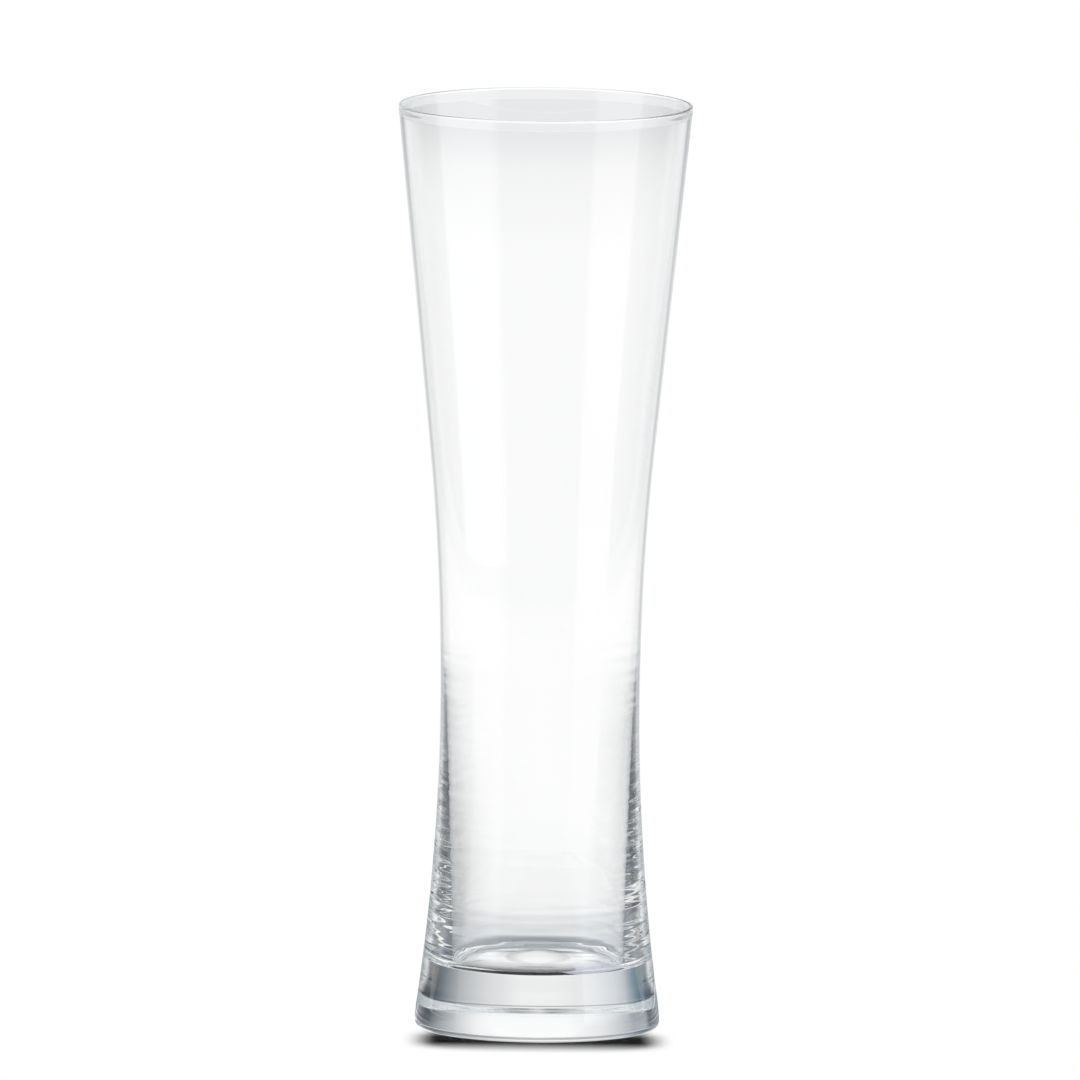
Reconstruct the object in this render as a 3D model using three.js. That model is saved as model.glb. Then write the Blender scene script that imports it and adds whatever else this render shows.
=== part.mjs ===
// A tall waisted wheat-beer glass, pressed and blown as one piece of clear glass.
// The wall is thin and conical at the top, narrows to a waist a third of the way up,
// and from there down it thickens steadily into a heavy solid foot.
// Millimetres, +Z up, origin at the centre of the ring that the glass stands on.
import * as THREE from 'three';

// Outside of the glass
const height = 260;
const rimDiameter = 82.3;
const shoulderHeight = 163.5;
const waistDiameter = 55.7;
const waistHeight = 92;
const footDiameter = 68.3;
const footSideRadius = 32;
const footEdgeRadius = 2;

// Wall: even from the rim down to thickeningHeight, then growing to footWall at the inner floor
const upperWall = 1.0;
const thickeningHeight = 118;
const footWall = 8.1;

// Rim: fire-polished, with a soft bead on the inside
const rimThickness = 1.2;
const rimBeadDepth = 2.5;

// Inner floor: a shallow dish with a round corner
const floorHeight = 16.3;
const floorDish = 1;
const floorCornerRadius = 2.8;

// Underside: a narrow ring to stand on, round a shallow hollow
const restRingWidth = 2.2;
const undersideHollow = 0.6;

// Steps of the faceted surface
const turnSteps = 72;
const longCurveSteps = 9;
const shortCurveSteps = 6;
const tightCurveSteps = 4;

// Radii and slopes that follow from the sizes above
const rimRadius = rimDiameter / 2;
const waistRadius = waistDiameter / 2;
const footRadius = footDiameter / 2;
const restRingOuter = footRadius - footEdgeRadius;
const restRingInner = restRingOuter - restRingWidth;
const lipRadius = rimThickness / 2;
const lipHeight = height - lipRadius;
const coneSlope = (rimRadius - waistRadius) / (lipHeight - (shoulderHeight + waistHeight) / 2);
const footLean = leanAtFoot();
const flareFoot = footEdgeRadius + footSideRadius * Math.sin(footLean);

// Lean from the vertical at which the flare meets the side of the foot without a crease
function leanAtFoot() {
  let lean = 0;
  for (let pass = 0; pass < 12; pass += 1) {
    const reach = footRadius - footSideRadius * (1 - Math.cos(lean)) - waistRadius;
    const drop = waistHeight - footEdgeRadius - footSideRadius * Math.sin(lean);
    lean = Math.atan2(2 * reach, drop);
  }
  return lean;
}

// Outer radius at a height: cone above the shoulder, then two parabolas that meet level at the waist
function outerRadius(z) {
  if (z >= shoulderHeight) {
    return rimRadius - coneSlope * (lipHeight - z);
  }
  if (z >= waistHeight) {
    return waistRadius + (coneSlope * (z - waistHeight) ** 2) / (2 * (shoulderHeight - waistHeight));
  }
  return waistRadius + (Math.tan(footLean) * (waistHeight - z) ** 2) / (2 * (waistHeight - flareFoot));
}

// Wall thickness at a height: it grows with the square of the depth below thickeningHeight
function wallAt(z) {
  const floorEdge = floorHeight + floorDish;
  const depth = Math.max(0, (thickeningHeight - z) / (thickeningHeight - floorEdge));
  return upperWall + (footWall - upperWall) * depth ** 2;
}

function innerRadius(z) {
  return outerRadius(z) - wallAt(z);
}

// Points of a curve from one height to another, both ends included
function along(from, to, steps, radiusAt) {
  const points = [];
  for (let step = 0; step <= steps; step += 1) {
    const z = THREE.MathUtils.lerp(from, to, step / steps);
    points.push(new THREE.Vector2(radiusAt(z), z));
  }
  return points;
}

// Points of an arc round a centre, both ends included, with angles from the outward direction
function arc(centreRadius, centreHeight, radius, fromAngle, toAngle, steps) {
  const points = [];
  for (let step = 0; step <= steps; step += 1) {
    const angle = THREE.MathUtils.lerp(fromAngle, toAngle, step / steps);
    points.push(
      new THREE.Vector2(centreRadius + radius * Math.cos(angle), centreHeight + radius * Math.sin(angle)),
    );
  }
  return points;
}

// Points of a shallow dish from the axis out to an edge, level at both ends
function dish(edgeRadius, axisHeight, edgeHeight, steps) {
  const points = [];
  for (let step = 0; step < steps; step += 1) {
    const share = step / steps;
    const rise = (1 - Math.cos(Math.PI * share)) / 2;
    points.push(new THREE.Vector2(edgeRadius * share, THREE.MathUtils.lerp(axisHeight, edgeHeight, rise)));
  }
  return points;
}

// Underside hollow, rest ring, round edge and upright side of the foot
function footProfile() {
  const hollow = dish(restRingInner, undersideHollow, 0, shortCurveSteps);
  const edge = arc(restRingOuter, footEdgeRadius, footEdgeRadius, -Math.PI / 2, 0, shortCurveSteps);
  const side = arc(footRadius - footSideRadius, footEdgeRadius, footSideRadius, 0, footLean, tightCurveSteps);
  return [...hollow, new THREE.Vector2(restRingInner, 0), ...edge, ...side.slice(1)];
}

// Flare, waist and shoulder, up to the foot of the straight cone
function outsideProfile() {
  const flare = along(flareFoot, waistHeight, longCurveSteps, outerRadius);
  const shoulder = along(waistHeight, shoulderHeight, longCurveSteps, outerRadius);
  return [...flare.slice(1), ...shoulder.slice(1)];
}

// Rounded lip, with the bead fading into the inner wall
function rimProfile() {
  const lip = arc(rimRadius - lipRadius, lipHeight, lipRadius, 0, Math.PI, shortCurveSteps);
  const beadAt = (z) => {
    const share = (lipHeight - z) / rimBeadDepth;
    const bead = ((rimThickness - upperWall) * (1 + Math.cos(Math.PI * share))) / 2;
    return innerRadius(z) - bead;
  };
  const fade = along(lipHeight, lipHeight - rimBeadDepth, tightCurveSteps, beadAt);
  return [...lip, ...fade.slice(1)];
}

// Inner wall from the shoulder down to the floor corner
function insideProfile() {
  const shoulder = along(shoulderHeight, thickeningHeight, tightCurveSteps, innerRadius);
  const cornerTop = floorHeight + floorDish + floorCornerRadius;
  const thickening = along(thickeningHeight, cornerTop, longCurveSteps, innerRadius);
  return [...shoulder, ...thickening.slice(1)];
}

// Round corner and dished floor, back to the axis
function floorProfile() {
  const floorEdge = floorHeight + floorDish;
  const cornerTop = floorEdge + floorCornerRadius;
  const cornerCentre = innerRadius(cornerTop) - floorCornerRadius;
  const corner = arc(cornerCentre, cornerTop, floorCornerRadius, 0, -Math.PI / 2, shortCurveSteps);
  const floor = dish(cornerCentre, floorHeight, floorEdge, shortCurveSteps);
  return [...corner.slice(1), ...floor.reverse()];
}

// The whole section turned about the upright axis
function glassGeometry() {
  const profile = [
    ...footProfile(),
    ...outsideProfile(),
    ...rimProfile(),
    ...insideProfile(),
    ...floorProfile(),
  ];
  const geometry = new THREE.LatheGeometry(profile, turnSteps);
  geometry.rotateX(Math.PI / 2);
  return geometry;
}

// Clear soda-lime glass
const clearGlass = new THREE.MeshStandardMaterial({
  name: 'clear_glass',
  color: 0xe9eeee,
  roughness: 0.03,
  metalness: 0,
  transparent: true,
  opacity: 0.4,
});

const glassBody = new THREE.Mesh(glassGeometry(), clearGlass);
glassBody.name = 'glass_body';

const beerGlass = new THREE.Group();
beerGlass.add(glassBody);

export default beerGlass;
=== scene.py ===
"""A tall waisted wheat-beer glass in clear glass, standing on a white studio floor.

Laid out as a Blender add-on and run as a script: one operator turns the glass, one sets
the stage and one places the camera. Everything is in metres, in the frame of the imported
model: +Z up, the origin at the centre of the ring that the glass stands on.
"""
import math

import bpy
from mathutils import Matrix, Vector


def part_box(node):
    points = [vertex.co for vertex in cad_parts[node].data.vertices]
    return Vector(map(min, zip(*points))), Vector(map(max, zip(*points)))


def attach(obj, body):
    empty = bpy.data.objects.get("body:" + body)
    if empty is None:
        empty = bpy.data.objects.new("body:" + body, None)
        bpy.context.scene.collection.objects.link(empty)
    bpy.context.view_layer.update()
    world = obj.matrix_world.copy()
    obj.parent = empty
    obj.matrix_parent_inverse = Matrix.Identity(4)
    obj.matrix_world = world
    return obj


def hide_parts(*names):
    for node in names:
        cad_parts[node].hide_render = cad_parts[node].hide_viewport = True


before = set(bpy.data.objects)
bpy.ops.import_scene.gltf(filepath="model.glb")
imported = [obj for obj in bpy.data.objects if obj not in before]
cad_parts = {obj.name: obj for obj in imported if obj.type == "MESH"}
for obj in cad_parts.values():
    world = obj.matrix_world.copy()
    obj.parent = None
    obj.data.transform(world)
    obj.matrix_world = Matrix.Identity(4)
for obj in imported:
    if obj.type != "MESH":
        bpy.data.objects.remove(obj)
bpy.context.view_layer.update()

glass_low, glass_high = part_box("glass_body")

bl_info = {
    "name": "Wheat-beer glass",
    "version": (1, 0, 0),
    "blender": (4, 5, 0),
    "location": "View3D > Sidebar > Beer Glass",
    "description": "Turns a tall waisted beer glass and sets a white studio round it",
    "category": "Object",
}

# The photograph's frame in pixels, which the camera is worked out from
FRAME_PIXELS = 1080

# Width of the camera's sensor in millimetres, as Blender counts it
SENSOR_WIDTH = 36.0


def mm(value):
    """Millimetres as metres."""
    return value / 1000


def linear(hex_colour):
    """An sRGB hex colour as linear red, green, blue and alpha."""
    parts = [int(hex_colour[i:i + 2], 16) / 255 for i in (1, 3, 5)]
    curve = [c / 12.92 if c <= 0.04045 else ((c + 0.055) / 1.055) ** 2.4 for c in parts]
    return (*curve, 1.0)


def length(name, description, default):
    """A length property in metres."""
    return bpy.props.FloatProperty(
        name=name, description=description, default=default, min=0.0, precision=5,
        subtype="DISTANCE", unit="LENGTH",
    )


class GlassSizes(bpy.types.PropertyGroup):
    """Sizes of the glass, outside first."""

    height: length("Height", "Table to the top of the rim", glass_high.z)
    rim_diameter: length("Rim diameter", "Outside, at the rim", glass_high.x - glass_low.x)
    shoulder_height: length("Shoulder height", "Where the straight cone starts", mm(163.5))
    waist_diameter: length("Waist diameter", "Outside, at the narrowest place", mm(55.7))
    waist_height: length("Waist height", "Height of the narrowest place", mm(92))
    foot_diameter: length("Foot diameter", "Outside, at the widest place of the foot", mm(68.3))
    foot_side_radius: length("Foot side radius", "Soft turn from the flare to upright", mm(32))
    foot_edge_radius: length("Foot edge radius", "Round edge under the foot", mm(2.0))
    upper_wall: length("Upper wall", "Wall of the cone", mm(1.0))
    thickening_height: length("Thickening height", "Where the wall starts to thicken", mm(118))
    foot_wall: length("Foot wall", "Wall at the inner floor", mm(8.1))
    rim_thickness: length("Rim thickness", "Fire-polished lip", mm(1.2))
    rim_bead_depth: length("Rim bead depth", "How far the bead fades down inside", mm(2.5))
    floor_height: length("Floor height", "Glass under the middle of the inner floor", mm(16.3))
    floor_dish: length("Floor dish", "How far the floor rises to its edge", mm(1.0))
    floor_corner_radius: length("Floor corner radius", "Round corner of the floor", mm(2.8))
    rest_ring_width: length("Rest ring width", "Flat ring that the glass stands on", mm(2.2))
    underside_hollow: length("Underside hollow", "Depth of the hollow under the foot", mm(0.6))
    turn_steps: bpy.props.IntProperty(
        name="Turn steps", description="Steps round the axis", default=216, min=12, max=720)


class RippleSizes(bpy.types.PropertyGroup):
    """Slight rings that pressing leaves on the inside of the thick wall."""

    depth: length("Ripple depth", "Height of the rings", mm(0.15))
    spacing: length("Ripple spacing", "Distance between the rings", mm(2.6))
    seed: bpy.props.FloatProperty(name="Ripple seed", description="Place in the noise", default=3.0)


class StudioSettings(bpy.types.PropertyGroup):
    """The lamp, the table and how far light is followed."""

    lamp_power: bpy.props.FloatProperty(
        name="Lamp power", description="Power of the overhead lamp", default=24.0,
        min=0.0, unit="POWER")
    lamp_size: length("Lamp size", "Side of the square overhead lamp", mm(100))
    lamp_height: length("Lamp height", "Height of the lamp above the table", mm(1200))
    lamp_tilt: bpy.props.FloatProperty(
        name="Lamp tilt", description="Turn of the lamp from overhead, away from the camera",
        default=math.radians(7.5), subtype="ANGLE", unit="ROTATION")
    table_reach: length("Table reach", "Half the side of the square table", mm(2500))
    light_turns: bpy.props.IntProperty(
        name="Light turns", description="How often light may turn inside the thick foot",
        default=1024, min=8, max=1024)


class CameraSettings(bpy.types.PropertyGroup):
    """Where the photograph was taken from."""

    distance: length("Distance", "From the lens to the glass", mm(12000))
    elevation: bpy.props.FloatProperty(
        name="Elevation", description="Height of the view above the horizon",
        default=math.radians(7.3), subtype="ANGLE", unit="ROTATION")
    roll: bpy.props.FloatProperty(
        name="Roll", description="Turn of the camera about its own line of sight",
        default=math.radians(0.56), subtype="ANGLE", unit="ROTATION")
    pixels_per_metre: bpy.props.FloatProperty(
        name="Pixels per metre", description="Scale of the photograph at the glass", default=3577.0)
    aim_x: bpy.props.FloatProperty(
        name="Aim across", description="Place on the glass in the middle of the frame",
        default=mm(-0.45), subtype="DISTANCE", unit="LENGTH")
    aim_height: length("Aim height", "Height on the glass in the middle of the frame", mm(137.3))


def add_node(tree, kind, inputs=None, **settings):
    """Adds a node to a tree, sets it, and fills or links its inputs, named or numbered."""
    node = tree.nodes.new(kind)
    for name, value in settings.items():
        setattr(node, name, value)
    for key, value in (inputs or {}).items():
        socket = node.inputs[key]
        if isinstance(value, bpy.types.NodeSocket):
            tree.links.new(value, socket)
        else:
            socket.default_value = value
    return node


def foot_lean(s):
    """Lean from the vertical at which the flare meets the side of the foot without a crease."""
    lean = 0.0
    for _ in range(12):
        side = s.foot_diameter / 2 - s.foot_side_radius * (1 - math.cos(lean))
        drop = s.waist_height - s.foot_edge_radius - s.foot_side_radius * math.sin(lean)
        lean = math.atan2(2 * side - s.waist_diameter, drop)
    return lean


def outer_radius(s, z):
    """Outer radius at a height: a cone, then two parabolas that meet level at the waist."""
    rim, waist = s.rim_diameter / 2, s.waist_diameter / 2
    lip_height = s.height - s.rim_thickness / 2
    slope = (rim - waist) / (lip_height - (s.shoulder_height + s.waist_height) / 2)
    if z >= s.shoulder_height:
        return rim - slope * (lip_height - z)
    if z >= s.waist_height:
        return waist + slope * (z - s.waist_height) ** 2 / (2 * (s.shoulder_height - s.waist_height))
    lean = foot_lean(s)
    flare_foot = s.foot_edge_radius + s.foot_side_radius * math.sin(lean)
    return waist + math.tan(lean) * (s.waist_height - z) ** 2 / (2 * (s.waist_height - flare_foot))


def inner_radius(s, z):
    """Inner radius at a height: the wall grows with the square of the depth below its start."""
    floor_edge = s.floor_height + s.floor_dish
    depth = max(0.0, (s.thickening_height - z) / (s.thickening_height - floor_edge))
    return outer_radius(s, z) - s.upper_wall - (s.foot_wall - s.upper_wall) * depth ** 2


def run(start, end, steps, point):
    """Points of a curve from start to end, without the last one."""
    return [point(start + (end - start) * i / steps) for i in range(steps)]


def arc(radius_at, height_at, radius, start, end, steps):
    """Points of an arc round a centre, without the last one; angles are from outward."""
    return run(start, end, steps, lambda a: (
        radius_at + radius * math.cos(a), height_at + radius * math.sin(a)))


def dish(edge, low, high, steps):
    """Points of a shallow dish from the axis out to its edge, level at both ends."""
    return run(0.0, 1.0, steps, lambda t: (
        edge * t, low + (high - low) * (1 - math.cos(math.pi * t)) / 2))


# Height of the short steps beside the lip, which keep its rounding from bending light in the cone
LIP_ZONE = mm(1.2)

# Steps of each stretch of the section
HOLLOW_STEPS = 16
REST_RING_STEPS = 3
FOOT_EDGE_STEPS = 16
FOOT_SIDE_STEPS = 8
FLARE_STEPS = 24
SHOULDER_STEPS = 20
CONE_STEPS = 6
BESIDE_LIP_STEPS = 6
LIP_STEPS = 16
BEAD_STEPS = 8
INNER_SHOULDER_STEPS = 14
FLOOR_CORNER_STEPS = 20
FLOOR_STEPS = 24

# The thick wall has steps finer than its ripples
THICK_WALL_STEPS = 240


def section(s):
    """The half section as (radius, height), from the underside round to the inner floor."""
    lean = foot_lean(s)
    edge, side = s.foot_edge_radius, s.foot_side_radius
    ring_outer = s.foot_diameter / 2 - edge
    ring_inner = ring_outer - s.rest_ring_width
    flare_foot = edge + side * math.sin(lean)
    lip = s.rim_thickness / 2
    lip_height = s.height - lip
    rim = s.rim_diameter / 2
    corner = s.floor_corner_radius
    floor_edge = s.floor_height + s.floor_dish
    corner_top = floor_edge + corner
    corner_centre = inner_radius(s, corner_top) - corner

    def outside(z):
        return outer_radius(s, z), z

    def inside(z):
        share = min(1.0, (lip_height - z) / s.rim_bead_depth)
        bead = (s.rim_thickness - s.upper_wall) * (1 + math.cos(math.pi * share)) / 2
        return inner_radius(s, z) - bead, z

    bead_foot = lip_height - s.rim_bead_depth
    points = dish(ring_inner, s.underside_hollow, 0.0, HOLLOW_STEPS)
    points += run(ring_inner, ring_outer, REST_RING_STEPS, lambda r: (r, 0.0))
    points += arc(ring_outer, edge, edge, -math.pi / 2, 0.0, FOOT_EDGE_STEPS)
    points += arc(s.foot_diameter / 2 - side, edge, side, 0.0, lean, FOOT_SIDE_STEPS)
    points += run(flare_foot, s.waist_height, FLARE_STEPS, outside)
    points += run(s.waist_height, s.shoulder_height, SHOULDER_STEPS, outside)
    points += run(s.shoulder_height, lip_height - LIP_ZONE, CONE_STEPS, outside)
    points += run(lip_height - LIP_ZONE, lip_height, BESIDE_LIP_STEPS, outside)
    points += arc(rim - lip, lip_height, lip, 0.0, math.pi, LIP_STEPS)
    points += run(lip_height, bead_foot, BEAD_STEPS, inside)
    points += run(bead_foot, bead_foot - LIP_ZONE, BESIDE_LIP_STEPS, inside)
    points += run(bead_foot - LIP_ZONE, s.shoulder_height, CONE_STEPS, inside)
    points += run(s.shoulder_height, s.thickening_height, INNER_SHOULDER_STEPS, inside)
    points += run(s.thickening_height, corner_top, THICK_WALL_STEPS, inside)
    points += arc(corner_centre, corner_top, corner, 0.0, -math.pi / 2, FLOOR_CORNER_STEPS)
    points += list(reversed(dish(corner_centre, s.floor_height, floor_edge, FLOOR_STEPS)[1:]))
    points.append((0.0, s.floor_height))
    return points


def section_mesh(name, points, waviness):
    """The half section as a line of vertices, each with how much the rings show there."""
    mesh = bpy.data.meshes.new(name)
    edges = [(i, i + 1) for i in range(len(points) - 1)]
    mesh.from_pydata([(r, 0.0, z) for r, z in points], edges, [])
    share = mesh.attributes.new("waviness", "FLOAT", "POINT")
    share.data.foreach_set("value", waviness)
    return mesh


# How little the rings change round the glass against how they change with height, so that
# they lie almost level, and how much fine noise they carry
RING_CHANGE = (0.35, 0.35, 1.0)
RING_DETAIL = 2.0
RING_ROUGHNESS = 0.45


def turning_nodes(material):
    """Node group that turns a half section about the upright axis into a closed surface."""
    tree = bpy.data.node_groups.new("Turn section", "GeometryNodeTree")
    face = tree.interface
    face.new_socket("Section", in_out="INPUT", socket_type="NodeSocketGeometry")
    steps = face.new_socket("Turn steps", in_out="INPUT", socket_type="NodeSocketInt")
    depth = face.new_socket("Ripple depth", in_out="INPUT", socket_type="NodeSocketFloat")
    spacing = face.new_socket("Ripple spacing", in_out="INPUT", socket_type="NodeSocketFloat")
    seed = face.new_socket("Ripple seed", in_out="INPUT", socket_type="NodeSocketFloat")
    face.new_socket("Glass", in_out="OUTPUT", socket_type="NodeSocketGeometry")
    given = tree.nodes.new("NodeGroupInput").outputs

    count = add_node(tree, "GeometryNodeAttributeDomainSize", {0: given["Section"]}).outputs[0]
    columns = add_node(tree, "ShaderNodeMath", {0: given["Turn steps"], 1: 1.0}).outputs[0]
    grid = add_node(tree, "GeometryNodeMeshGrid", {"Vertices X": count, "Vertices Y": columns}).outputs[0]

    index = tree.nodes.new("GeometryNodeInputIndex").outputs[0]
    ratio = add_node(tree, "ShaderNodeMath", {0: index, 1: columns}, operation="DIVIDE").outputs[0]
    place_on_section = add_node(tree, "ShaderNodeMath", {0: ratio}, operation="FLOOR").outputs[0]
    column = add_node(tree, "ShaderNodeMath", {0: index, 1: columns}, operation="MODULO").outputs[0]
    part = add_node(tree, "ShaderNodeMath", {0: column, 1: given["Turn steps"]}, operation="DIVIDE")
    angle = add_node(tree, "ShaderNodeMath", {0: part.outputs[0], 1: math.tau}, operation="MULTIPLY")

    position = tree.nodes.new("GeometryNodeInputPosition").outputs[0]
    sampled = add_node(tree, "GeometryNodeSampleIndex", {
        0: given["Section"], "Value": position, "Index": place_on_section}, data_type="FLOAT_VECTOR")
    parts = add_node(tree, "ShaderNodeSeparateXYZ", {0: sampled.outputs[0]}).outputs
    named = add_node(tree, "GeometryNodeInputNamedAttribute", {0: "waviness"}, data_type="FLOAT")
    wavy = add_node(tree, "GeometryNodeSampleIndex", {
        0: given["Section"], "Value": named.outputs[0], "Index": place_on_section}, data_type="FLOAT")

    cosine = add_node(tree, "ShaderNodeMath", {0: angle.outputs[0]}, operation="COSINE").outputs[0]
    sine = add_node(tree, "ShaderNodeMath", {0: angle.outputs[0]}, operation="SINE").outputs[0]
    upright = add_node(tree, "ShaderNodeMath", {
        0: parts["Z"], 1: given["Ripple spacing"]}, operation="DIVIDE").outputs[0]
    around = add_node(tree, "ShaderNodeCombineXYZ", {"X": cosine, "Y": sine, "Z": upright}).outputs[0]
    around = add_node(tree, "ShaderNodeVectorMath", {
        0: around, 1: RING_CHANGE}, operation="MULTIPLY").outputs[0]
    noise = add_node(tree, "ShaderNodeTexNoise", {
        "Vector": around, "W": given["Ripple seed"], "Scale": 1.0, "Detail": RING_DETAIL,
        "Roughness": RING_ROUGHNESS}, noise_dimensions="4D")
    centred = add_node(tree, "ShaderNodeMath", {0: noise.outputs[0], 1: 0.5}, operation="SUBTRACT")
    swing = add_node(tree, "ShaderNodeMath", {
        0: centred.outputs[0], 1: given["Ripple depth"]}, operation="MULTIPLY").outputs[0]
    ripple = add_node(tree, "ShaderNodeMath", {0: swing, 1: wavy.outputs[0]}, operation="MULTIPLY")
    radius = add_node(tree, "ShaderNodeMath", {0: parts["X"], 1: ripple.outputs[0]}).outputs[0]

    x = add_node(tree, "ShaderNodeMath", {0: radius, 1: cosine}, operation="MULTIPLY").outputs[0]
    y = add_node(tree, "ShaderNodeMath", {0: radius, 1: sine}, operation="MULTIPLY").outputs[0]
    turned = add_node(tree, "ShaderNodeCombineXYZ", {"X": x, "Y": y, "Z": parts["Z"]}).outputs[0]
    moved = add_node(tree, "GeometryNodeSetPosition", {0: grid, "Position": turned}).outputs[0]
    joined = add_node(tree, "GeometryNodeMergeByDistance", {0: moved, "Distance": mm(0.001)}).outputs[0]
    outward = add_node(tree, "GeometryNodeFlipFaces", {0: joined}).outputs[0]
    smooth = add_node(tree, "GeometryNodeSetShadeSmooth", {0: outward, "Shade Smooth": True}).outputs[0]
    real = add_node(tree, "GeometryNodeRealizeInstances", {0: smooth}).outputs[0]
    dressed = add_node(tree, "GeometryNodeSetMaterial", {0: real, "Material": material}).outputs[0]
    add_node(tree, "NodeGroupOutput", {0: dressed})
    return tree, {"steps": steps, "depth": depth, "spacing": spacing, "seed": seed}


def clear_glass():
    """Soda-lime glass, pressed, blown and fire-polished: clear and sharp, faintly blue-green
    where light runs through a long way of it, as in the foot."""
    material = bpy.data.materials.new("clear_soda_lime_glass")
    material.use_nodes = True
    tree = material.node_tree
    tree.nodes.clear()
    surface = add_node(tree, "ShaderNodeBsdfPrincipled", {
        "Base Color": linear("#FFFFFF"),
        "Roughness": 0.0,
        "IOR": 1.52,
        "Transmission Weight": 1.0,
    })
    body = add_node(tree, "ShaderNodeVolumeAbsorption", {"Color": linear("#DCECEE"), "Density": 0.7})
    add_node(tree, "ShaderNodeOutputMaterial", {
        "Surface": surface.outputs[0], "Volume": body.outputs[0]})
    return material


class TurnGlass(bpy.types.Operator):
    """Turn the glass body from its half section"""

    bl_idname = "beer_glass.turn_glass"
    bl_label = "Turn glass"

    def execute(self, context):
        sizes = context.scene.glass_sizes
        ripple = context.scene.ripple_sizes
        points = section(sizes)
        floor_edge = sizes.floor_height + sizes.floor_dish
        inside_from = points.index(max(points, key=lambda p: p[1]))
        waviness = []
        for i, (_, z) in enumerate(points):
            # The rings fade in over the upper half of the thick wall
            fade = (sizes.thickening_height - z) / (sizes.thickening_height - floor_edge)
            rippled = i > inside_from and z > floor_edge
            waviness.append(min(1.0, max(0.0, fade * 2)) if rippled else 0.0)
        base = bpy.data.objects.new("glass_section", section_mesh("glass_section", points, waviness))
        context.collection.objects.link(base)
        tree, sockets = turning_nodes(clear_glass())
        turn = base.modifiers.new("Turn", "NODES")
        turn.node_group = tree
        turn[sockets["steps"].identifier] = sizes.turn_steps
        turn[sockets["depth"].identifier] = ripple.depth
        turn[sockets["spacing"].identifier] = ripple.spacing
        turn[sockets["seed"].identifier] = ripple.seed
        mesh = bpy.data.meshes.new_from_object(
            base.evaluated_get(context.evaluated_depsgraph_get()))
        base.modifiers.remove(turn)
        bpy.data.objects.remove(base)
        mesh.name = "glass_wall"
        body = bpy.data.objects.new("glass", mesh)
        context.collection.objects.link(body)
        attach(body, "root")
        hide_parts("glass_body")
        return {"FINISHED"}


def colour_stops(tree, share, stops):
    """Colour along a row of stops, each a share of 0 to 1 and a hex colour."""
    node = add_node(tree, "ShaderNodeValToRGB", {"Fac": share})
    elements = node.color_ramp.elements
    elements.remove(elements[-1])
    elements[0].position = stops[0][0]
    elements[0].color = linear(stops[0][1])
    for position, colour in stops[1:]:
        stop = elements.new(position)
        stop.color = linear(colour)
    return node.outputs[0]


def compass_turn(tree, direction):
    """Compass angle of a direction as a share of a full turn, with 0.5 behind the glass."""
    parts = add_node(tree, "ShaderNodeSeparateXYZ", {0: direction}).outputs
    compass = add_node(tree, "ShaderNodeMath", {
        0: parts["X"], 1: parts["Y"]}, operation="ARCTAN2").outputs[0]
    return add_node(tree, "ShaderNodeMath", {
        0: compass, 1: 1 / math.tau, 2: 0.5}, operation="MULTIPLY_ADD").outputs[0]


def panorama(tree, direction, stops):
    """Colour by compass angle from a ring of stops, each an angle in degrees and a hex colour."""
    turn = compass_turn(tree, direction)
    return colour_stops(tree, turn, [(angle / 360 + 0.5, colour) for angle, colour in stops])


def turned_more_than(tree, turns):
    """One for light that the glass has mirrored more than this many times, and else nought."""
    depth = add_node(tree, "ShaderNodeLightPath").outputs["Glossy Depth"]
    return add_node(tree, "ShaderNodeMath", {
        0: depth, 1: turns + 0.5}, operation="GREATER_THAN").outputs[0]


def rise(degrees):
    """Height of a direction that rises by an angle in degrees."""
    return math.sin(math.radians(degrees))


# Colour sockets of a mix node
FIRST, SECOND, MIXED = 6, 7, 2

# Tones of the studio. The rings of them below stand in for a real room and were fitted, by
# comparing pictures, to what the glass shows in the photograph
WHITE = "#FFFFFF"
BRIGHT = "#FAFAFA"
COOL = "#F0F3FB"
LIGHT = "#F3F3F3"
PALE = "#E5E6E7"
SILVER = "#C4C8CC"
MIST = "#B4B7BA"
GREY = "#A2A8AE"
DIM = "#888F96"
SLATE = "#5C6872"
STEEL = "#6C8794"
INK = "#345466"
CHARCOAL = "#3C4A54"
NIGHT = "#18242C"
BLACK = "#000000"

# The rings give a tone by compass angle: 0 is behind the glass, 90 to its right and 180 where
# the photographer stands

# The room at the height of the glass, as light shows it that the glass has mirrored
ROOM = (
    (-140, MIST), (-136, WHITE), (-97, WHITE), (-93, DIM), (-60, CHARCOAL), (-54, GREY), (-42, GREY),
    (-24, PALE), (-10, WHITE), (13, WHITE), (21, LIGHT), (35, MIST), (54, CHARCOAL), (60, NIGHT),
    (79, SLATE), (83, COOL), (138, COOL), (142, MIST),
)

# How far the room opens into white above and below the horizon, and between which angles
OPENING = ((-65, WHITE), (-50, GREY), (50, GREY), (65, WHITE))
OPENING_FOOT = 13
OPENING_TOP = 22

# The backdrop, as the solid foot shows it: white in the middle, with dark edges
BACKDROP = (
    (-84, WHITE), (-68, INK), (-56, INK), (-47, STEEL), (-36, SILVER), (-18, PALE), (-6, LIGHT),
    (6, LIGHT), (29, MIST), (45, SLATE), (54, NIGHT), (66, NIGHT), (84, WHITE),
)

# Painted reflection of a room on the far end of the table, as thin walls mirror it
PAINTED_FAR_ROOM = (
    (-140, GREY), (-136, WHITE), (-97, WHITE), (-93, SILVER), (-45, GREY), (-24, DIM), (-12, SILVER),
    (0, PALE), (12, SILVER), (22, DIM), (60, MIST), (93, SILVER), (180, GREY),
)

# Painted reflection of a room on the middle of the table
PAINTED_MID_ROOM = (
    (-140, PALE), (-136, WHITE), (-64, WHITE), (-31, LIGHT), (-25, SILVER), (-18, SILVER),
    (-12, PALE), (0, LIGHT), (12, PALE), (18, SILVER), (25, SILVER), (31, LIGHT), (93, LIGHT),
    (180, PALE),
)
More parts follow.
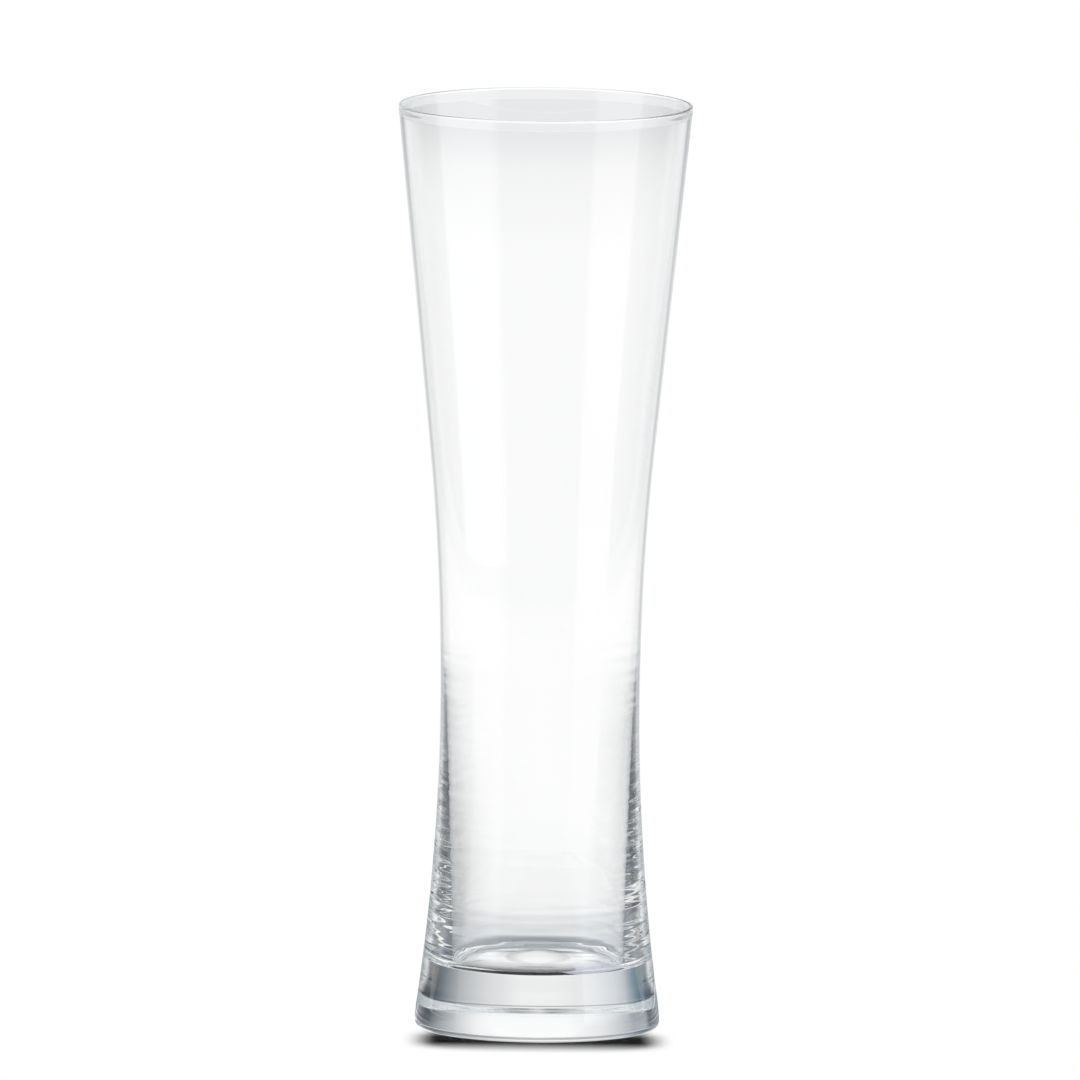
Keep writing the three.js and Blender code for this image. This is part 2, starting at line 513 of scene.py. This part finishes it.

# Painted reflection of a room, dark and light, on the table close to the glass, as the thick walls turn it
# inward
PAINTED_NEAR_ROOM = (
    (-140, PALE), (-136, WHITE), (-97, WHITE), (-93, GREY), (-80, CHARCOAL), (-66, CHARCOAL), (-54, SLATE),
    (-46, NIGHT), (-30, NIGHT), (-18, GREY), (0, SILVER), (18, GREY), (30, NIGHT), (46, NIGHT),
    (54, SLATE), (80, SLATE), (93, MIST), (180, PALE),
)

# The panel on the right, which only the outside of the glass mirrors, and over how many
# degrees it fades in above the table
PANEL = ((88, BLACK), (97, COOL), (133.4, BRIGHT), (134.2, BLACK))
PANEL_RISE = 6
PANEL_STRENGTH = 1.5

# What light shows that was mirrored several times inside the thick glass, and what light
# shows that ran a long way in it
SEVERAL_TURNS = 2
DEEP = (
    (-168, BLACK), (-150, WHITE), (-90, WHITE), (-62, NIGHT), (-38, NIGHT), (-12, WHITE),
    (12, WHITE), (38, NIGHT), (62, NIGHT), (90, WHITE), (150, WHITE), (168, BLACK),
)
MANY_TURNS = 14
LONG_WAY = ((-75, SILVER), (-55, WHITE), (55, WHITE), (75, SILVER))
TURNED_SHARE = 0.9

# The table behind the glass, by the distance in metres at which it is seen through the bowl, with painted
# shade that makes it darker close to the glass and again about two metres away
BEHIND_PAINTED_SHADE = (
    (0.05, DIM), (0.08, SILVER), (0.13, LIGHT), (0.22, BRIGHT), (1.80, BRIGHT), (2.02, LIGHT),
    (2.12, PALE), (2.24, PALE), (2.5, LIGHT),
)

# The strip of the backdrop that the round edge under the foot shows: where it starts and ends,
# in degrees above the table, and the share of its light that it lacks
STRIP_FOOT = (-1, 1)
STRIP_TOP = (9, 7)
STRIP_LOSS = 0.45


def turned_often(tree, colour, direction):
    """A colour as light shows it that was mirrored several times, or very often, in the glass."""
    for turns, ring in ((SEVERAL_TURNS, DEEP), (MANY_TURNS, LONG_WAY)):
        share = add_node(tree, "ShaderNodeMath", {
            0: turned_more_than(tree, turns), 1: TURNED_SHARE}, operation="MULTIPLY").outputs[0]
        colour = add_node(tree, "ShaderNodeMix", {
            "Factor": share, FIRST: colour, SECOND: panorama(tree, direction, ring),
        }, data_type="RGBA").outputs[MIXED]
    return colour


def mirrored_room(tree, direction, up):
    """The room as the glass mirrors it: a ring of cards that opens into white above and below."""
    steepness = add_node(tree, "ShaderNodeMath", {0: up}, operation="ABSOLUTE").outputs[0]
    steep = add_node(tree, "ShaderNodeMapRange", {
        "Value": steepness, "From Min": rise(OPENING_FOOT), "From Max": rise(OPENING_TOP),
    }, interpolation_type="SMOOTHSTEP").outputs[0]
    opened = add_node(tree, "ShaderNodeMath", {
        0: steep, 1: panorama(tree, direction, OPENING)}, operation="MULTIPLY").outputs[0]
    room = add_node(tree, "ShaderNodeMix", {
        "Factor": opened, FIRST: panorama(tree, direction, ROOM), SECOND: linear(LIGHT),
    }, data_type="RGBA").outputs[MIXED]
    room = turned_often(tree, room, direction)

    # Light that came through no wall of the glass
    walls = add_node(tree, "ShaderNodeLightPath").outputs["Transmission Depth"]
    outside = add_node(tree, "ShaderNodeMath", {0: walls, 1: 0.5}, operation="LESS_THAN").outputs[0]
    high = add_node(tree, "ShaderNodeMapRange", {
        "Value": up, "From Min": 0.0, "From Max": rise(PANEL_RISE)},
        interpolation_type="SMOOTHSTEP").outputs[0]
    gain = add_node(tree, "ShaderNodeMath", {0: outside, 1: high}, operation="MULTIPLY").outputs[0]
    gain = add_node(tree, "ShaderNodeMath", {
        0: gain, 1: PANEL_STRENGTH}, operation="MULTIPLY").outputs[0]
    panel = add_node(tree, "ShaderNodeVectorMath", {
        0: panorama(tree, direction, PANEL), "Scale": gain}, operation="SCALE").outputs[0]
    return add_node(tree, "ShaderNodeVectorMath", {0: room, 1: panel}, operation="ADD").outputs[0]


def backdrop_strip(tree, up, mirrored):
    """Level of the backdrop by the height of an unmirrored sight line."""
    rising = add_node(tree, "ShaderNodeMapRange", {
        "Value": up, "From Min": rise(STRIP_FOOT[0]), "From Max": rise(STRIP_FOOT[1])},
        interpolation_type="SMOOTHSTEP").outputs[0]
    falling = add_node(tree, "ShaderNodeMapRange", {
        "Value": up, "From Min": rise(STRIP_TOP[0]), "From Max": rise(STRIP_TOP[1])},
        interpolation_type="SMOOTHSTEP").outputs[0]
    strip = add_node(tree, "ShaderNodeMath", {0: rising, 1: falling}, operation="MULTIPLY").outputs[0]
    unmirrored = add_node(tree, "ShaderNodeMath", {
        0: 1.0, 1: mirrored}, operation="SUBTRACT").outputs[0]
    strip = add_node(tree, "ShaderNodeMath", {
        0: strip, 1: unmirrored}, operation="MULTIPLY").outputs[0]
    return add_node(tree, "ShaderNodeMath", {
        0: strip, 1: -STRIP_LOSS, 2: 1.0}, operation="MULTIPLY_ADD").outputs[0]


def studio_world():
    """White where the camera looks straight at it, and for the glass a backdrop and a room."""
    world = bpy.data.worlds.new("studio")
    bpy.context.scene.world = world
    world.use_nodes = True
    tree = world.node_tree
    tree.nodes.clear()
    direction = add_node(tree, "ShaderNodeTexCoord").outputs["Generated"]
    up = add_node(tree, "ShaderNodeSeparateXYZ", {0: direction}).outputs["Z"]
    mirrored = turned_more_than(tree, 0)
    seen = add_node(tree, "ShaderNodeMix", {
        "Factor": mirrored, FIRST: panorama(tree, direction, BACKDROP),
        SECOND: mirrored_room(tree, direction, up)}, data_type="RGBA").outputs[MIXED]
    seen = add_node(tree, "ShaderNodeVectorMath", {
        0: seen, "Scale": backdrop_strip(tree, up, mirrored)}, operation="SCALE").outputs[0]

    # The room shows in the glass only, and lights nothing
    path = add_node(tree, "ShaderNodeLightPath").outputs
    by_glass = add_node(tree, "ShaderNodeMath", {
        0: path["Is Glossy Ray"], 1: path["Is Transmission Ray"]}, operation="MAXIMUM").outputs[0]
    clean = add_node(tree, "ShaderNodeMath", {
        0: by_glass, 1: path["Diffuse Depth"]}, operation="SUBTRACT", use_clamp=True).outputs[0]
    shown = add_node(tree, "ShaderNodeMix", {
        "Factor": clean, FIRST: linear(BLACK), SECOND: seen}, data_type="RGBA").outputs[MIXED]
    whole = add_node(tree, "ShaderNodeMix", {
        "Factor": path["Is Camera Ray"], FIRST: shown, SECOND: linear(WHITE),
    }, data_type="RGBA").outputs[MIXED]
    sky = add_node(tree, "ShaderNodeBackground", {"Color": whole, "Strength": 1.0})
    add_node(tree, "ShaderNodeOutputWorld", {"Surface": sky.outputs[0]})


# The patch that keeps the shadow: its middle on the table, how far it is whole to the side and
# to the back, how far it reaches, and between which shares of that reach its corners fade
PATCH_MIDDLE = (mm(0.3), mm(-27))
PATCH_WHOLE = (mm(28), mm(4))
PATCH_REACH = (mm(39), mm(29))
PATCH_CORNERS = (1.2, 0.8)


def shadow_patch(tree, position):
    """One where the table keeps the glass's shadow, and nought where it is plain white."""
    patch = add_node(tree, "ShaderNodeMapping", {
        0: position, "Location": (-PATCH_MIDDLE[0], -PATCH_MIDDLE[1], 0.0)}).outputs[0]
    patch = add_node(tree, "ShaderNodeVectorMath", {0: patch}, operation="ABSOLUTE").outputs[0]
    oval = add_node(tree, "ShaderNodeVectorMath", {
        0: patch, 1: (*PATCH_REACH, 1.0)}, operation="DIVIDE").outputs[0]
    oval = add_node(tree, "ShaderNodeVectorMath", {0: oval}, operation="LENGTH").outputs["Value"]
    kept = add_node(tree, "ShaderNodeMapRange", {
        "Value": oval, "From Min": PATCH_CORNERS[0], "From Max": PATCH_CORNERS[1]},
        interpolation_type="SMOOTHSTEP").outputs[0]
    parts = add_node(tree, "ShaderNodeSeparateXYZ", {0: patch}).outputs
    for way, reach, whole in zip("XY", PATCH_REACH, PATCH_WHOLE):
        within = add_node(tree, "ShaderNodeMapRange", {
            "Value": parts[way], "From Min": reach, "From Max": whole},
            interpolation_type="SMOOTHSTEP").outputs[0]
        kept = add_node(tree, "ShaderNodeMath", {0: kept, 1: within}, operation="MULTIPLY").outputs[0]
    return kept


# Painted shade on the table to the left close by, and at the far corners: each has the places across
# and the distances between which it comes in, and how much light it takes
LEFT_SHADE_ACROSS = (mm(-15), mm(-80))
LEFT_SHADE_NEAR = (0.40, 0.08)
LEFT_SHADE_LOSS = 0.42
FAR_SHADE_ACROSS = (mm(40), mm(150))
FAR_SHADE_AWAY = (1.9, 2.1)
FAR_SHADE_LOSS = 0.16
TABLE_LEVEL = 1.06


def table_behind_with_painted_shade(tree, across, distance, reach):
    """The table as it is seen through the bowl, by distance, with painted shade near the glass, to the
    left close by and at the far corners.
    """
    share = add_node(tree, "ShaderNodeMath", {0: distance, 1: reach}, operation="DIVIDE").outputs[0]
    behind = colour_stops(tree, share, [(metres / reach, colour) for metres, colour in BEHIND_PAINTED_SHADE])
    aside = add_node(tree, "ShaderNodeMath", {0: across}, operation="ABSOLUTE").outputs[0]
    level = TABLE_LEVEL
    # Painted shade to the left close by and at the far corners
    for place, sideways, away, loss in (
        (across, LEFT_SHADE_ACROSS, LEFT_SHADE_NEAR, LEFT_SHADE_LOSS), (aside, FAR_SHADE_ACROSS, FAR_SHADE_AWAY, FAR_SHADE_LOSS),
    ):
        beside = add_node(tree, "ShaderNodeMapRange", {
            "Value": place, "From Min": sideways[0], "From Max": sideways[1]},
            interpolation_type="SMOOTHSTEP").outputs[0]
        there = add_node(tree, "ShaderNodeMapRange", {
            "Value": distance, "From Min": away[0], "From Max": away[1]},
            interpolation_type="SMOOTHSTEP").outputs[0]
        shade = add_node(tree, "ShaderNodeMath", {0: beside, 1: there}, operation="MULTIPLY").outputs[0]
        level = add_node(tree, "ShaderNodeMath", {
            0: shade, 1: -loss, 2: level}, operation="MULTIPLY_ADD").outputs[0]
    return add_node(tree, "ShaderNodeVectorMath", {
        0: behind, "Scale": level}, operation="SCALE").outputs[0]


# A painted silver ring round the foot, and thin painted highlights that the thick walls show as level
# streaks: how often they change in a turn and in a metre, and how much of their noise shows
FOOT_RING_AT = (0.15, 0.11)
FOOT_RING_SHARE = 0.2
ARC_CHANGE = (2.5, 140.0, 1.0)
ARC_NOISE = (0.54, 0.70)
ARCS_AT = (0.22, 0.16)

# Distances at which one ring of the table goes over into the next
NEAR_TO_MID = (0.40, 0.65)
MID_TO_FAR = (1.35, 1.95)


def painted_room_on_table(tree, position, distance):
    """The table as the walls mirror it, from the foot of the glass to its far end, painted with a room's
    reflection, a ring round the foot and light streaks.
    """
    near = add_node(tree, "ShaderNodeMapRange", {
        "Value": distance, "From Min": FOOT_RING_AT[0], "From Max": FOOT_RING_AT[1]},
        interpolation_type="SMOOTHSTEP").outputs[0]
    painted_ring = add_node(tree, "ShaderNodeMath", {
        0: near, 1: FOOT_RING_SHARE}, operation="MULTIPLY").outputs[0]
    turn_and_distance = add_node(tree, "ShaderNodeCombineXYZ", {
        "X": compass_turn(tree, position), "Y": distance}).outputs[0]
    scaled = add_node(tree, "ShaderNodeMapping", {
        0: turn_and_distance, "Scale": ARC_CHANGE}).outputs[0]
    noise = add_node(tree, "ShaderNodeTexNoise", {
        "Vector": scaled, "Scale": 1.0, "Detail": 1.0}, noise_dimensions="2D").outputs[0]
    painted_streaks = add_node(tree, "ShaderNodeMapRange", {
        "Value": noise, "From Min": ARC_NOISE[0], "From Max": ARC_NOISE[1]},
        interpolation_type="SMOOTHSTEP").outputs[0]
    close_by = add_node(tree, "ShaderNodeMapRange", {
        "Value": distance, "From Min": ARCS_AT[0], "From Max": ARCS_AT[1]},
        interpolation_type="SMOOTHSTEP").outputs[0]
    painted_streaks = add_node(tree, "ShaderNodeMath", {0: painted_streaks, 1: close_by}, operation="MULTIPLY").outputs[0]
    to_mid = add_node(tree, "ShaderNodeMapRange", {
        "Value": distance, "From Min": NEAR_TO_MID[0], "From Max": NEAR_TO_MID[1]},
        interpolation_type="SMOOTHSTEP").outputs[0]
    to_far = add_node(tree, "ShaderNodeMapRange", {
        "Value": distance, "From Min": MID_TO_FAR[0], "From Max": MID_TO_FAR[1]},
        interpolation_type="SMOOTHSTEP").outputs[0]
    # Painted room reflection, with a painted ring and painted light streaks over it
    colour = panorama(tree, position, PAINTED_NEAR_ROOM)
    for share, over in (
        (painted_ring, linear(SILVER)), (painted_streaks, linear(LIGHT)),
        (to_mid, panorama(tree, position, PAINTED_MID_ROOM)), (to_far, panorama(tree, position, PAINTED_FAR_ROOM)),
    ):
        colour = add_node(tree, "ShaderNodeMix", {
            "Factor": share, FIRST: colour, SECOND: over}, data_type="RGBA").outputs[MIXED]
    return colour


# Under the glass the table is painted black to the front and grey to the back, a painted shadow,
# with a pale painted reflection of the right panel on the right
UNDER_GLASS = mm(31)
PAINTED_SHADOW_TO_GREY = (mm(-12), mm(16))
PAINTED_REFLECTION_EDGE = (mm(11.0), mm(11.8))
PAINTED_PANEL_REFLECTION = "#B4B8C6"


def painted_shadow_beneath(tree, across, depth):
    """The table under the glass, as the solid foot shows it: a painted shadow with a painted reflection of
    the right panel.
    """
    back = add_node(tree, "ShaderNodeMapRange", {
        "Value": depth, "From Min": PAINTED_SHADOW_TO_GREY[0], "From Max": PAINTED_SHADOW_TO_GREY[1]},
        interpolation_type="SMOOTHSTEP").outputs[0]
    painted_reflection_share = add_node(tree, "ShaderNodeMapRange", {
        "Value": across, "From Min": PAINTED_REFLECTION_EDGE[0], "From Max": PAINTED_REFLECTION_EDGE[1]},
        interpolation_type="SMOOTHSTEP").outputs[0]
    # Painted shadow: black under the front of the foot, grey to the back, with the painted panel
    # reflection on the right
    colour = linear(BLACK)
    for share, over in ((back, linear(GREY)), (painted_reflection_share, linear(PAINTED_PANEL_REFLECTION))):
        colour = add_node(tree, "ShaderNodeMix", {
            "Factor": share, FIRST: colour, SECOND: over}, data_type="RGBA").outputs[MIXED]
    return colour


# Light that came through no more walls than this, and meets the table this close to the glass,
# went straight through the solid foot
FOOT_WALLS = 2
FOOT_REACH = 0.35


def white_table(reach):
    """Matt white table top: it takes the shadow near the glass and is plain white beyond, and
    the glass shows on it a painted shadow below, painted shade, painted reflections and white behind."""
    material = bpy.data.materials.new("matt_white_table")
    material.use_nodes = True
    tree = material.node_tree
    tree.nodes.clear()
    path = add_node(tree, "ShaderNodeLightPath").outputs
    position = add_node(tree, "ShaderNodeTexCoord").outputs["Object"]
    parts = add_node(tree, "ShaderNodeSeparateXYZ", {0: position}).outputs
    distance = add_node(tree, "ShaderNodeVectorMath", {
        0: position}, operation="LENGTH").outputs["Value"]
    lit = add_node(tree, "ShaderNodeBsdfDiffuse", {"Color": linear(LIGHT)}).outputs[0]
    white = add_node(tree, "ShaderNodeEmission", {
        "Color": linear(WHITE), "Strength": 1.0}).outputs[0]
    seen = add_node(tree, "ShaderNodeMixShader", {
        0: shadow_patch(tree, position), 1: white, 2: lit}).outputs[0]

    mirrored = turned_more_than(tree, 0)
    around = add_node(tree, "ShaderNodeMix", {
        "Factor": mirrored, FIRST: table_behind_with_painted_shade(tree, parts["X"], distance, reach),
        SECOND: painted_room_on_table(tree, position, distance)}, data_type="RGBA").outputs[MIXED]
    open_table = add_node(tree, "ShaderNodeMath", {
        0: distance, 1: UNDER_GLASS}, operation="GREATER_THAN").outputs[0]
    shown = add_node(tree, "ShaderNodeMix", {
        "Factor": open_table, FIRST: painted_shadow_beneath(tree, parts["X"], parts["Y"]), SECOND: around,
    }, data_type="RGBA").outputs[MIXED]
    shown = turned_often(tree, shown, position)
    # The painted shadow, shade and reflections glow for the glass only
    opaque = add_node(tree, "ShaderNodeEmission", {"Color": shown, "Strength": 1.0}).outputs[0]

    # Rays that went straight through the solid foot go on to the backdrop
    few_walls = add_node(tree, "ShaderNodeMath", {
        0: path["Transmission Depth"], 1: FOOT_WALLS + 0.5}, operation="LESS_THAN").outputs[0]
    straight = add_node(tree, "ShaderNodeMath", {
        0: few_walls, 1: mirrored}, operation="SUBTRACT", use_clamp=True).outputs[0]
    close = add_node(tree, "ShaderNodeMath", {
        0: distance, 1: FOOT_REACH}, operation="LESS_THAN").outputs[0]
    round_foot = add_node(tree, "ShaderNodeMath", {
        0: close, 1: open_table}, operation="MULTIPLY").outputs[0]
    passes = add_node(tree, "ShaderNodeMath", {
        0: straight, 1: round_foot}, operation="MULTIPLY").outputs[0]
    clear = add_node(tree, "ShaderNodeBsdfTransparent").outputs[0]
    through_glass = add_node(tree, "ShaderNodeMixShader", {0: passes, 1: opaque, 2: clear}).outputs[0]
    surface = add_node(tree, "ShaderNodeMixShader", {
        0: path["Is Camera Ray"], 1: through_glass, 2: seen}).outputs[0]
    add_node(tree, "ShaderNodeOutputMaterial", {"Surface": surface})
    return material


# A hair between the glass and the table, so that the two faces don't lie in one plane
TABLE_GAP = mm(0.05)


class SetStage(bpy.types.Operator):
    """Set the white floor, the room and the lamp"""

    bl_idname = "beer_glass.set_stage"
    bl_label = "Set stage"

    def execute(self, context):
        settings = context.scene.studio_settings
        # Light that is shut in the thick foot needs many turns to come out again
        context.scene.cycles.max_bounces = settings.light_turns
        context.scene.cycles.glossy_bounces = settings.light_turns
        context.scene.cycles.transmission_bounces = settings.light_turns
        studio_world()
        mesh = bpy.data.meshes.new("table")
        side = settings.table_reach
        corners = [(-side, -side), (side, -side), (side, side), (-side, side)]
        mesh.from_pydata([(x, y, -TABLE_GAP) for x, y in corners], [], [(0, 1, 2, 3)])
        mesh.materials.append(white_table(side))
        table = bpy.data.objects.new("table", mesh)
        context.collection.objects.link(table)

        lamp = bpy.data.lights.new("overhead_lamp", "AREA")
        lamp.energy = settings.lamp_power
        lamp.size = settings.lamp_size
        height, tilt = settings.lamp_height, settings.lamp_tilt
        overhead = bpy.data.objects.new("overhead_lamp", lamp)
        overhead.location = (0.0, height * math.tan(tilt), height)
        overhead.rotation_euler = (-tilt, 0.0, 0.0)
        overhead.visible_camera = False
        overhead.visible_glossy = False
        overhead.visible_transmission = False
        context.collection.objects.link(overhead)
        return {"FINISHED"}


class PlaceCamera(bpy.types.Operator):
    """Place the camera where the photograph was taken from"""

    bl_idname = "beer_glass.place_camera"
    bl_label = "Place camera"

    def execute(self, context):
        view = context.scene.camera_settings
        data = bpy.data.cameras.new("camera")
        camera = bpy.data.objects.new("camera", data)
        context.collection.objects.link(camera)
        context.scene.camera = camera
        frame_width = FRAME_PIXELS / view.pixels_per_metre
        data.sensor_width = SENSOR_WIDTH
        data.lens = SENSOR_WIDTH * view.distance / frame_width
        data.clip_start = 0.1
        data.clip_end = view.distance * 4
        back = Vector((0.0, -math.cos(view.elevation), math.sin(view.elevation)))
        turn = (-back).to_track_quat("-Z", "Y").to_matrix().to_4x4()
        aim = Vector((view.aim_x, 0.0, view.aim_height))
        roll = Matrix.Rotation(view.roll, 4, "Z")
        camera.matrix_world = Matrix.Translation(aim + back * view.distance) @ turn @ roll
        return {"FINISHED"}


class BeerGlassPanel(bpy.types.Panel):
    """Sizes and steps of the beer glass"""

    bl_idname = "VIEW3D_PT_beer_glass"
    bl_label = "Beer Glass"
    bl_space_type = "VIEW_3D"
    bl_region_type = "UI"
    bl_category = "Beer Glass"

    def draw(self, context):
        for group in (context.scene.glass_sizes, context.scene.ripple_sizes,
                      context.scene.studio_settings, context.scene.camera_settings):
            box = self.layout.box()
            for name in group.bl_rna.properties.keys():
                if name not in ("rna_type", "name"):
                    box.prop(group, name)
        for operator in OPERATORS:
            self.layout.operator(operator.bl_idname)


GROUPS = {
    "glass_sizes": GlassSizes,
    "ripple_sizes": RippleSizes,
    "studio_settings": StudioSettings,
    "camera_settings": CameraSettings,
}
OPERATORS = (TurnGlass, SetStage, PlaceCamera)
CLASSES = (*GROUPS.values(), *OPERATORS, BeerGlassPanel)


def register():
    for cls in CLASSES:
        bpy.utils.register_class(cls)
    for name, group in GROUPS.items():
        setattr(bpy.types.Scene, name, bpy.props.PointerProperty(type=group))


def unregister():
    for name in GROUPS:
        delattr(bpy.types.Scene, name)
    for cls in reversed(CLASSES):
        bpy.utils.unregister_class(cls)


def main():
    """Builds the scene in order."""
    register()
    bpy.context.scene.view_settings.view_transform = "Standard"
    bpy.ops.beer_glass.turn_glass()
    bpy.ops.beer_glass.set_stage()
    bpy.ops.beer_glass.place_camera()


if __name__ == "__main__":
    main()
